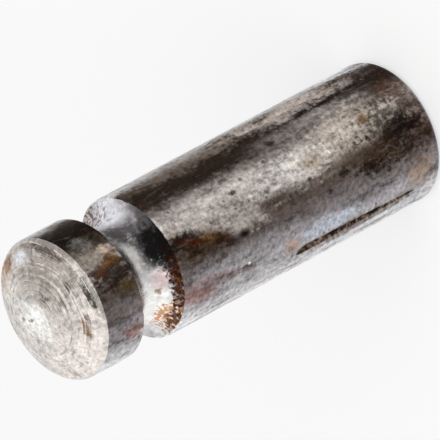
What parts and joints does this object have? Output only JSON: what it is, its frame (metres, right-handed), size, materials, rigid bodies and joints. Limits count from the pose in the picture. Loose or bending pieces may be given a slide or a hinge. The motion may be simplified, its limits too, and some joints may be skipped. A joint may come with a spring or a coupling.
{
  "type": "grooved pin with gorge",
  "caption": "Round steel pin with a crowned head, a round-bottomed gorge below it, and tapered V grooves pressed into the shank so that it grips a drilled hole.",
  "frame": {"origin": "centre of the flat end that is driven into the hole, and on which the pin stands", "axes": "+Z along the pin, from the flat end to the crowned head; +X through the middle of one pressed groove"},
  "size_m": [0.0101, 0.01, 0.032],
  "materials": {
    "worn_steel": "turned steel, worn, with dark scale and rust stains"
  },
  "bodies": {
    "root": {"grooved_pin": "worn_steel"}
  },
  "joints": []
}
